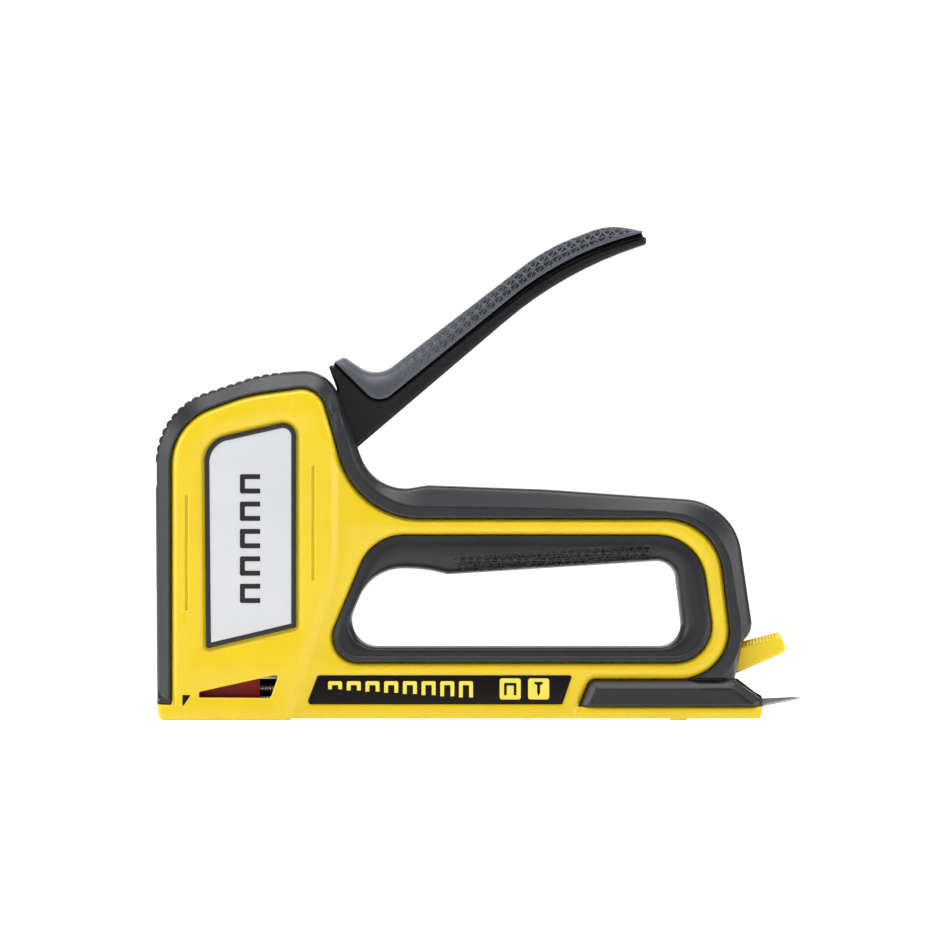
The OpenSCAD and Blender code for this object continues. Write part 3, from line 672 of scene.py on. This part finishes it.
def grid_pits(u, v, side_length, rib):
    """0 on the ribs of a triangular grid and 1 in the pits between them."""
    height = side_length * math.sqrt(3) / 2
    a = v / height
    b = (math.sqrt(3) / 2 * u - v / 2) / height
    parts = np.stack([a, b, -a - b])
    nearest = np.abs(parts - np.round(parts)).min(axis=0) * height
    return ramp(nearest, rib / 2, rib / 2 + 0.22)


RIDGE_LOW, RIDGE_HIGH = 1.45, 3.0   # the liner's ridge runs this far inside its border, below and above
RIDGE_CLIMB = (22, 46)              # and changes from one to the other between these heights
LOW_PART = (22, 30)                 # the part below the hand opening ends between these heights
RIDGE_RISE = 0.45
BEAD_WIDTH, BEAD_RISE = 0.45, 0.3   # a fine bead on the ridge
EDGE_HALF = 8.0                     # half width at the edge of the hand opening
GRIP_PIT, GRIP_PIT_DEPTH = 2.4, 0.4     # side and depth of the triangular pits under the grip
GRIP_START, GRIP_END = (80, 84), (138, 143)     # the pits fade in and out between these x
GRIP_LOW, GRIP_HIGH = 43, 54


def liner(side):
    """Liner: a ridge near the bare shell, rounded down into the hand opening, with a pitted grip."""
    def front(p):
        inner = np.maximum(-depth(p, HAND), 0)
        border = np.maximum(depth(p, LINER), 0)
        ridge = RIDGE_LOW + (RIDGE_HIGH - RIDGE_LOW) * ramp(p[:, 1], *RIDGE_CLIMB)
        share = np.clip(inner / np.maximum(inner + border - ridge, 0.01), 0, 1)
        top = FRAME_HALF + RIDGE_RISE
        low = 1 - ramp(p[:, 1], *LOW_PART)
        y = EDGE_HALF + (top - EDGE_HALF) * (1 - (1 - share) ** (3.5 + 3.5 * low)) ** 0.4
        y -= 0.9 * (1 - np.clip(border / ridge, 0, 1)) ** 1.3
        y += BEAD_RISE * (1 - ramp(np.abs(border - ridge), 0, BEAD_WIDTH)) * low
        grip = ramp(p[:, 0], *GRIP_START) * ramp(-p[:, 0], -GRIP_END[1], -GRIP_END[0])
        grip *= ramp(inner, 0.1, 0.9) * (1 - ramp(inner, 4.4, 5.4)) * (p[:, 1] > GRIP_LOW - 1)
        return y - GRIP_PIT_DEPTH * grip * grid_pits(p[:, 0], p[:, 1], GRIP_PIT, 0.4)

    loops = [ring(HAND, d, 1.5) for d in (0, 0.05, 0.2, 0.45, 0.8, 1.3, 2.0, 2.9, 3.9, 5.0)]
    steps = (0, 0.2, 0.5, 0.9, 1.1, 1.3, 1.45, 1.6, 1.8, 2.0, 2.4, 2.8, 3.2, 3.7)
    loops += [ring(LINER, -d, 1.5) for d in steps]
    spacing = GRIP_PIT / 12
    row_height = spacing * math.sqrt(3) / 2
    columns, rows = np.meshgrid(
        np.arange(GRIP_START[0] // spacing, GRIP_END[1] // spacing),
        np.arange(GRIP_LOW // row_height, GRIP_HIGH // row_height))
    dots = np.column_stack([(spacing * (columns + rows / 2 % 1)).ravel(), (row_height * rows).ravel()])
    zone = -depth(dots, HAND)
    dots = dots[(zone > 0.1) & (zone < 5.6) & (depth(dots, LINER) > 0.3)]
    loops += ROOM_RINGS

    def keep(p):
        return (depth(p, LINER) > 0) & (depth(p, HAND) < 0)

    name = f"{SIDE_NAME[side]}_liner"
    piece = sculpt(name + "_form", plan(loops, keep, dots), front, room_half, side,
                   "housing", LINER_BLACK, "liner_black")
    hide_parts(name)


BADGE_BORDER = 1.5
BADGE_BACK = 15.3           # the badge reaches just below its recess's floor


def plate(name, corners, low, high, round_edge, side, material, slot, hole=None, replaced=None):
    """A thin plate on the side face, with rounded edges and perhaps a hole."""
    def front(p):
        y = high - fillet(depth(p, corners), round_edge, round_edge)
        if hole:
            y -= fillet(-depth(p, hole), round_edge, round_edge)
        return y

    loops = [ring(corners, -d, 3) for d in fillet_steps(round_edge, 3)]
    if hole:
        loops += [ring(hole, d, 3) for d in fillet_steps(round_edge, 3)]

    def keep(p):
        kept = depth(p, corners) > 0
        return kept & (depth(p, hole) < 0) if hole else kept

    piece = sculpt(name, plan(loops, keep), front, lambda p: np.full(len(p), low), side,
                   "housing", material, slot)
    if replaced:
        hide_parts(replaced)


def prism(outlines, low, high, name, side, material, slot):
    """Thin raised print made of several closed outlines."""
    points, faces = [], []
    for corners in outlines:
        loop = rounded(corners, 12)
        first, count = len(points), len(loop)
        points += [(x, side * high, z) for x, z in loop] + [(x, side * low, z) for x, z in loop]
        faces.append(tuple(range(first, first + count)))
        faces.append(tuple(range(first + 2 * count - 1, first + count - 1, -1)))
        for i in range(count):
            j = (i + 1) % count
            faces.append((first + i, first + j, first + count + j, first + count + i))
    return make_object(name, points, faces, "housing", material, slot)


def staple_outline(x, z, width, leg, line):
    """A staple with its legs down, its crown's top left corner at (x, z)."""
    r = line * 0.45
    return [
        [x, z, r], [x + width, z, r], [x + width, z - leg, 0.05], [x + width - line, z - leg, 0.05],
        [x + width - line, z - line, r * 0.4], [x + line, z - line, r * 0.4],
        [x + line, z - leg, 0.05], [x, z - leg, 0.05],
    ]


def sideways_staple(x, z, width, leg, line):
    """The same staple turned a quarter, its crown to the left and its legs to the right."""
    r = line * 0.35
    return [
        [x, z, r], [x + leg, z, 0.1], [x + leg, z - line, 0.1], [x + line, z - line, r * 0.4],
        [x + line, z - width + line, r * 0.4], [x + leg, z - width + line, 0.1],
        [x + leg, z - width, 0.1], [x, z - width, r],
    ]


def badge(side):
    word = SIDE_NAME[side]
    inner = moved(BADGE, -BADGE_BORDER)
    plate(f"{word}_badge_frame_form", BADGE, BADGE_BACK, HEAD_HALF - 0.05, 0.25, side,
          TRIM_BLACK, "trim_black", inner, f"{word}_badge_frame")
    plate(f"{word}_badge_plate_form", inner, BADGE_BACK, HEAD_HALF - 0.2, 0.08, side,
          SILVER, "badge_silver", None, f"{word}_badge_plate")
    signs = [sideways_staple(17.2, 73.6 - 8.2 * i, 5.8, 6.1, 1.5) for i in range(5)]
    prism(signs, HEAD_HALF - 0.22, HEAD_HALF - 0.14, f"{word}_badge_print", side,
          PRINT_BLACK, "trim_black")


def square_outline(x, z, size, radius):
    return [[x, z + size, radius], [x + size, z + size, radius], [x + size, z, radius], [x, z, radius]]


def label(side):
    word = SIDE_NAME[side]
    face = FRAME_HALF + 0.14
    plate(f"{word}_label_form", LABEL, FRAME_HALF - 0.2, face, 0.08, side,
          LABEL_BLACK, "label_black", None, f"{word}_label")
    low, top, tile = 6.15, 11.6, 6.3
    signs = [staple_outline(43.6 + 5.6 * i, top, 4.2, 2.4 + 0.35 * i, 1.15) for i in range(8)]
    tiles = [square_outline(95, low, tile, 0.7), square_outline(103.5, low, tile, 0.7)]
    piece = prism(signs + tiles, face - 0.02, face + 0.05, f"{word}_label_print_form", side,
                  PRINT_YELLOW, "print_yellow")
    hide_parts(f"{word}_label_print")
    nail = [[105.4, 11.4, 0.1], [107.9, 11.4, 0.1], [107.9, 10.8, 0.1], [107.1, 10.4, 0.1],
            [107.1, 8.2, 0], [106.65, 7, 0.1], [106.2, 8.2, 0], [106.2, 10.4, 0.1], [105.4, 10.8, 0.1]]
    prism([staple_outline(96.3, 11.1, 3.7, 3.7, 0.8), nail], face + 0.03, face + 0.09,
          f"{word}_tile_print", side, LABEL_BLACK, "label_black")


def drive_mark(side):
    word = SIDE_NAME[side]
    piece = prism([DRIVE_MARK], HEAD_HALF - 0.3, HEAD_HALF + 0.05, f"{word}_drive_mark", side,
                  LABEL_BLACK, "label_black")
    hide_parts("drive_marks")


# ----------------------------------------------------------
# Lever
# ----------------------------------------------------------

CORE_HALF = 8.5
PAD_HALF = 9.4
# Height of the core's side at a distance below the pad: a shadow groove, a thin ledge, a fine line
CORE_STEPS_BELOW_PAD = [0, 0.9, 1.05, 1.35, 1.5, 1.65, 1.95]
CORE_STEPS_HEIGHT = [-1.3, -1.3, -0.35, -0.35, -0.8, -0.8, 0]
ROOT_STEPS = 0.4            # these steps are this much smaller at the lever's root
CORE_ROUND = 1.2


def lever_core():
    """Hard core with rounded edges and a stepped shadow groove under the pad."""
    foot = rounded(PAD_FOOT, 2, closed=False)
    seam = np.vstack([foot, foot[::-1]])

    def front(p):
        stretch = ROOT_STEPS + (1 - ROOT_STEPS) * ramp(p[:, 0], 60, 125)
        steps = np.interp(edge_distance(p, seam) / stretch, CORE_STEPS_BELOW_PAD, CORE_STEPS_HEIGHT)
        return CORE_HALF + steps * stretch - fillet(depth(p, LEVER_CORE), CORE_ROUND, CORE_ROUND)

    loops = [ring(LEVER_CORE, -d, 2.5, 3) for d in fillet_steps(CORE_ROUND)]
    loops += [ring(LEVER_CORE, -d, 1.5, 3) for d in CORE_STEPS_BELOW_PAD[1:]]
    for stretch in (ROOT_STEPS, 0.6, 0.8):
        loops += [ring(LEVER_CORE, -stretch * d, 1.5, 3) for d in CORE_STEPS_BELOW_PAD[1:]]

    def keep(p):
        return depth(p, LEVER_CORE) > 0

    piece = sculpt("lever_core_form", plan(loops, keep), front, lambda p: -front(p), LEFT,
                   "lever", CORE_BLACK, "lever_black")
    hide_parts("lever_core")


def arc_lengths(points):
    steps = np.linalg.norm(np.diff(points, axis=0), axis=1)
    return np.concatenate([[0], np.cumsum(steps)])


def stations(points, count):
    """Evenly spaced points along a line of points."""
    lengths = arc_lengths(points)
    where = np.linspace(0, lengths[-1], count)
    return np.column_stack([np.interp(where, lengths, points[:, k]) for k in range(2)])


def split_at_dip(points):
    """The line in two: from the root's lip to its lowest point near the root, and on to the tip."""
    near_root = points[:, 0] < 70
    dip = np.argmin(np.where(near_root, points[:, 1], np.inf))
    return points[:dip + 1], points[dip:]


PAD_STATIONS = (60, 500)    # stations from the root to the dip, and from the dip to the tip
PAD_AROUND = 150
ARCH_SIDE, ARCH_TOP = 0.62, 0.72    # exponents below 1 make the arch fuller than a half circle
PAD_RIM = 1.3               # height of the smooth rim along the pad's foot
PIT_SIZE, PIT_RIB, PIT_DEPTH = 3.05, 0.45, 0.7


def pad_lines():
    """Matching stations along the pad's top and its foot."""
    tops, feet = [], []
    parts = zip(split_at_dip(rounded(PAD_TOP, 2, False)), split_at_dip(rounded(PAD_FOOT, 2, False)))
    for (top, foot), count in zip(parts, PAD_STATIONS):
        tops.append(stations(top, count))
        feet.append(stations(foot, count))
    return np.vstack([tops[0][:-1], tops[1]]), np.vstack([feet[0][:-1], feet[1]])


def lever_pad():
    """Soft pad: an arched strip over the core's top, with a grid of raised ribs around pits."""
    top, foot = pad_lines()
    travel = arc_lengths(foot)[:, None]
    to_tip = travel[-1] - travel
    height = np.maximum(np.linalg.norm(top - foot, axis=1), 0.02)[:, None]
    up = (top - foot) / height
    half = PAD_HALF - fillet(to_tip, 7, 1.8) - fillet(travel, 3, 0.5)

    angle = np.pi * np.arange(PAD_AROUND + 1)[None] / PAD_AROUND
    across = -np.sign(np.cos(angle)) * np.abs(np.cos(angle)) ** ARCH_SIDE
    h = height * np.sin(angle).clip(0) ** ARCH_TOP
    tuck = 0.45 * (1 - np.clip(h / PAD_RIM, 0, 1)) ** 2
    y = (half - tuck) * across
    slope_y, slope_h = np.gradient(y, axis=1), np.gradient(h, axis=1)
    length = np.hypot(slope_y, slope_h) + 1e-9
    around = np.cumsum(length, axis=1)
    around -= around[:, PAD_AROUND // 2][:, None]
    grip = ramp(travel, 18, 40) * ramp(to_tip, 2, 4) * ramp(h, PAD_RIM, PAD_RIM + 0.35)
    grip *= 0.45 + 0.55 * ramp(travel, 35, 85)
    sunk = PIT_DEPTH * grip * grid_pits(travel + 0 * h, around, PIT_SIZE, PIT_RIB)
    sunk += 0.12 * ramp(h, PAD_RIM, PAD_RIM + 0.2)
    y = y + sunk * slope_h / length
    h = np.maximum(h - sunk * slope_y / length, 0)
    x = foot[:, 0:1] + up[:, 0:1] * h
    z = foot[:, 1:2] + up[:, 1:2] * h
    points = np.stack([x, y, z], axis=-1).reshape(-1, 3)

    row, rows = PAD_AROUND + 1, len(foot)
    faces = [tuple(range(row - 1, -1, -1)), tuple((rows - 1) * row + k for k in range(row))]
    for i in range(rows - 1):
        first = i * row
        faces += [(first + k, first + k + 1, first + k + 1 + row, first + k + row) for k in range(PAD_AROUND)]
        faces.append((first + PAD_AROUND, first, first + row, first + row + PAD_AROUND))
    piece = make_object("lever_pad_form", points, faces, "lever", PAD_GREY, "pad_grey", smooth_angle=40)
    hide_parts("lever_pad")


# ----------------------------------------------------------
# Latch, springs and carried-over pieces
# ----------------------------------------------------------

TAB_HALF = 6.0
LATCH_ARM_HALF = 3.0
TAB_START = 166.2
TAB_TOP = np.array([168.5, 23.6])
TAB_TOP_NORMAL = np.array([-0.26, 0.966])
TAB_CHAMFER, CHAMFER_DROP = 1.7, 1.5
TAB_ROUND = 0.8
RIB_PITCH, RIB_RISE = 0.95, 0.14
RIB_START, RIB_END = (167, 168), (177.5, 178.5)     # the ribs fade in and out between these x


def latch():
    """Thumb latch: a wide rounded tab with grip ribs on a narrow arm."""
    def front(p):
        wide = ramp(p[:, 0], TAB_START, TAB_START + 0.05)
        y = LATCH_ARM_HALF + (TAB_HALF - LATCH_ARM_HALF) * wide
        y -= fillet(depth(p, LATCH), TAB_ROUND, TAB_ROUND)
        below_top = (TAB_TOP - p) @ TAB_TOP_NORMAL
        slope = np.clip(1 - below_top / TAB_CHAMFER, 0, 1) * wide
        ribs = np.cos(2 * math.pi * p[:, 0] / RIB_PITCH) * np.minimum(1, 4 * slope)
        ribs *= ramp(p[:, 0], *RIB_START) * ramp(-p[:, 0], -RIB_END[1], -RIB_END[0])
        return y - CHAMFER_DROP * slope + RIB_RISE * ribs

    loops = [ring(LATCH, -d, 0.3) for d in fillet_steps(TAB_ROUND)]
    loops += [ring(LATCH, -d, 0.24) for d in (1.0, 1.25, 1.5, TAB_CHAMFER, 2.0)]
    step = [[TAB_START, 30, 0], [TAB_START + 0.05, 30, 0], [TAB_START + 0.05, 10, 0], [TAB_START, 10, 0]]
    loops.append(ring(step, 0, 2))

    def keep(p):
        return depth(p, LATCH) > 0

    piece = sculpt("latch_tab_form", plan(loops, keep), front, lambda p: -front(p), LEFT,
                   "latch", TAB_YELLOW, "tab_yellow")
    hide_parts("latch_tab")


def wound_wire(name, spine, radius, wire, sides, material, slot):
    """A wire wound around the X axis; spine gives (x, turns so far) pairs in order."""
    points, faces = [], []
    for i, (x, turns) in enumerate(spine):
        angle = 2 * math.pi * turns
        outward = np.array([0, math.cos(angle), math.sin(angle)])
        for s in range(sides):
            around = 2 * math.pi * s / sides
            spot = outward * (radius + wire / 2 * math.cos(around))
            points.append(spot + np.array([x + wire / 2 * math.sin(around), 0, 0]))
        if i:
            for s in range(sides):
                a, b = (i - 1) * sides + s, (i - 1) * sides + (s + 1) % sides
                faces.append((a, b, b + sides, a + sides))
    faces.append(tuple(range(sides - 1, -1, -1)))
    faces.append(tuple((len(spine) - 1) * sides + s for s in range(sides)))
    return make_object(name, points, faces, None, material, slot, smooth_angle=60)


def feed_spring():
    """The feed spring: closed turns at the pusher, open turns up to the tail."""
    low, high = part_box("feed_spring")
    start, end = low.x / MM, high.x / MM
    axis_z = (low.z + high.z) / 2 / MM
    wire, radius, closed_pitch = 0.6, 2.65, 0.8
    closed, open_turns, per_turn = 6, 38, 22
    closed_length = closed * closed_pitch
    spine = []
    for k in range((closed + open_turns) * per_turn + 1):
        turns = k / per_turn
        if turns < closed:
            x = closed_length * turns / closed
        else:
            x = closed_length + (end - start - wire - closed_length) * (turns - closed) / open_turns
        spine.append((start + wire / 2 + x, turns))
    piece = wound_wire("feed_spring_wire", spine, radius, wire, 7, WIRE_STEEL, "spring_steel")
    for vertex in piece.data.vertices:
        vertex.co.z += axis_z * MM
    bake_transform(piece)
    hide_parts("feed_spring")


def power_spring():
    """The power spring, drawn round, between the plunger's cup and its seat."""
    low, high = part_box("power_spring")
    wire, radius, axis_x = 2.2, 4.3, 7.6
    turns, per_turn = 7, 26
    length = (high.z - low.z) / MM - wire
    spine = [(wire / 2 + length * k / (turns * per_turn), k / per_turn) for k in range(turns * per_turn + 1)]
    piece = wound_wire("power_spring_wire", spine, radius, wire, 12, WIRE_STEEL, "spring_steel")
    for vertex in piece.data.vertices:
        x, y, z = vertex.co
        vertex.co = (z + axis_x * MM, y, x + low.z)
    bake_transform(piece)
    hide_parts("power_spring")


def refined(node, width, material, angle=35):
    """A CAD node with its edges bevelled, in place of the bare solid."""
    mesh = frame["nodes"][node].data.copy()
    shape = bmesh.new()
    shape.from_mesh(mesh)
    bmesh.ops.remove_doubles(shape, verts=shape.verts, dist=1e-6)
    bmesh.ops.dissolve_limit(shape, angle_limit=math.radians(1), verts=shape.verts, edges=shape.edges)
    sharp = [e for e in shape.edges if e.is_manifold and e.calc_face_angle(0) > math.radians(angle)]
    bmesh.ops.bevel(shape, geom=sharp, offset=width * MM, segments=2, profile=0.5,
                    affect="EDGES", clamp_overlap=True)
    shape.to_mesh(mesh)
    shape.free()
    smooth_by_angle(mesh, angle)
    mesh.materials.clear()
    mesh.materials.append(material)
    piece = bpy.data.objects.new(node + "_form", mesh)
    bpy.context.scene.collection.objects.link(piece)
    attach(piece, frame["nodes"][node]["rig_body"])
    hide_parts(node)


def repaint(node, material):
    """A carried-over CAD node with its own procedural material."""
    mesh = frame["nodes"][node].data
    mesh.materials.clear()
    mesh.materials.append(material)


for half in (LEFT, RIGHT):
    shell(half)
    cover(half)
    liner(half)
    badge(half)
    label(half)
    drive_mark(half)
lever_core()
lever_pad()
latch()
feed_spring()
power_spring()
REFINED = {
    "pusher": (0.35, RED, "pusher_red"),
    "magazine_tail": (0.3, CORE_BLACK, "lever_black"),
    "staple_remover": (0.12, BLADE_STEEL, "blade_steel"),
    "shell_screws": (0.15, SCREW_BLACK, "black_screws"),
    "magazine_rail": (0.15, PLATE_STEEL, "plain_steel"),
    "staple_channel": (0.12, PLATE_STEEL, "plain_steel"),
    "nose_plate": (0.2, PLATE_STEEL, "plain_steel"),
    "plunger": (0.4, CASTING, "cast_plunger"),
    "lever_arm": (0.3, PLATE_STEEL, "plain_steel"),
    "driver_blade": (0.12, PLATE_STEEL, "spring_steel"),
    "plunger_bumper": (0.5, BUFFER, "buffer_rubber"),
    "spring_seat": (0.2, PIN_STEEL, "plain_steel"),
}
for node, (width, material, slot) in REFINED.items():
    refined(node, width, material)
for node in ("lever_pin", "latch_pin", "lever_roller", "guide_rod"):
    repaint(node, PIN_STEEL)
repaint("latch_spring", WIRE_STEEL)

# ----------------------------------------------------------
# Studio
# ----------------------------------------------------------

FLOOR_COLOUR = (0.93, 0.93, 0.93, 1)
FLOOR_GLOW = (0.4, 1.05)        # glow of the light table under the part and further away
GLOW_RISE = (0.1, 0.9)          # it rises between these distances in front and behind
SIDE_GLOW = 0.25                # share of that glow that is left at the table's sides
SIDE_FADE = (0.35, 0.8)         # it fades between these distances to the sides
FLOOR_HALF, FLOOR_FRONT = 4, -5
FLOOR_LEVEL = -0.1 * MM
PANEL_PLACE = 9                 # distance of the lit panel, behind a camera that looks at the back
PANEL_HALF, PANEL_HEIGHT = 1.2, 1.85
PANEL_GLOW = 1.1
WORLD_GLOW = 0.17
AIM = (0.08, 0, 0.06)           # where every light points
# Name, place, width and height, power in watts
LIGHTS = [
    ("overhead", (0.08, -0.1, 1.0), (1.2, 0.6), 12),
    ("key", (0.08, -0.7, 0.9), (1.0, 0.6), 2),
    ("left", (-1.0, -0.6, 0.4), (1.2, 1.0), 4.5),
    ("front edge", (-1.1, -0.15, 0.3), (0.8, 1.0), 10),
    ("right", (1.2, -0.3, 0.35), (0.8, 1.0), 8),
    ("back", (0.08, 1.2, 0.7), (1.2, 0.6), 4),
]


def quad(name, corners, material):
    mesh = bpy.data.meshes.new(name)
    mesh.from_pydata(corners, [], [(0, 1, 2, 3)])
    mesh.materials.append(material)
    obj = bpy.data.objects.new(name, mesh)
    bpy.context.scene.collection.objects.link(obj)


def studio():
    """A pale light table that glows more the further it lies from the part, and a lit panel behind."""
    table = Material("table", Base_Color=FLOOR_COLOUR, Roughness=0.9, Emission_Color=(1, 1, 1, 1))
    place = table.node("ShaderNodeSeparateXYZ", {"Vector": table.coordinates}).outputs
    far, aside = (table.node("ShaderNodeMath", {0: place[k]}, operation="ABSOLUTE").outputs[0] for k in "YX")
    glow = table.node("ShaderNodeMath", {
        0: table.spread(far, *FLOOR_GLOW, *GLOW_RISE),
        1: table.spread(aside, 1, SIDE_GLOW, *SIDE_FADE),
    }, operation="MULTIPLY").outputs[0]
    table.tree.links.new(glow, table.shader.inputs["Emission Strength"])
    low, back = FLOOR_LEVEL, PANEL_PLACE
    quad("floor", [
        (-FLOOR_HALF, FLOOR_FRONT, low), (FLOOR_HALF, FLOOR_FRONT, low),
        (FLOOR_HALF, back, low), (-FLOOR_HALF, back, low),
    ], table.material)
    panel = Material("panel", Base_Color=(0, 0, 0, 1), Emission_Color=(1, 1, 1, 1),
                     Emission_Strength=PANEL_GLOW)
    quad("panel", [
        (-PANEL_HALF, back, low), (PANEL_HALF, back, low),
        (PANEL_HALF, back, PANEL_HEIGHT), (-PANEL_HALF, back, PANEL_HEIGHT),
    ], panel.material)


def soft_light(name, place, size, power):
    data = bpy.data.lights.new(name, "AREA")
    data.shape = "RECTANGLE"
    data.size, data.size_y = size
    data.energy = power
    light = bpy.data.objects.new(name, data)
    light.location = place
    light.rotation_euler = (Vector(AIM) - Vector(place)).to_track_quat("-Z", "Y").to_euler()
    bpy.context.scene.collection.objects.link(light)


def camera():
    """A long lens square on to the left side, framing 285 mm across."""
    distance, frame_width, sensor = 8.0, 0.285, 36.0
    data = bpy.data.cameras.new("camera")
    data.sensor_width = sensor
    data.lens = sensor * distance / frame_width
    data.clip_end = 50
    eye = bpy.data.objects.new("camera", data)
    eye.location = (0.0876, -distance, 0.07335)
    eye.rotation_euler = (math.pi / 2, 0, 0)
    bpy.context.scene.collection.objects.link(eye)
    bpy.context.scene.camera = eye


def surroundings():
    """Even white light from all around, and colours shown as they are."""
    world = bpy.data.worlds.new("studio")
    bpy.context.scene.world = world
    world.use_nodes = True
    background = world.node_tree.nodes["Background"]
    background.inputs[0].default_value = (1, 1, 1, 1)
    background.inputs[1].default_value = WORLD_GLOW
    bpy.context.scene.view_settings.view_transform = "Standard"


studio()
for light in LIGHTS:
    soft_light(*light)
camera()
surroundings()
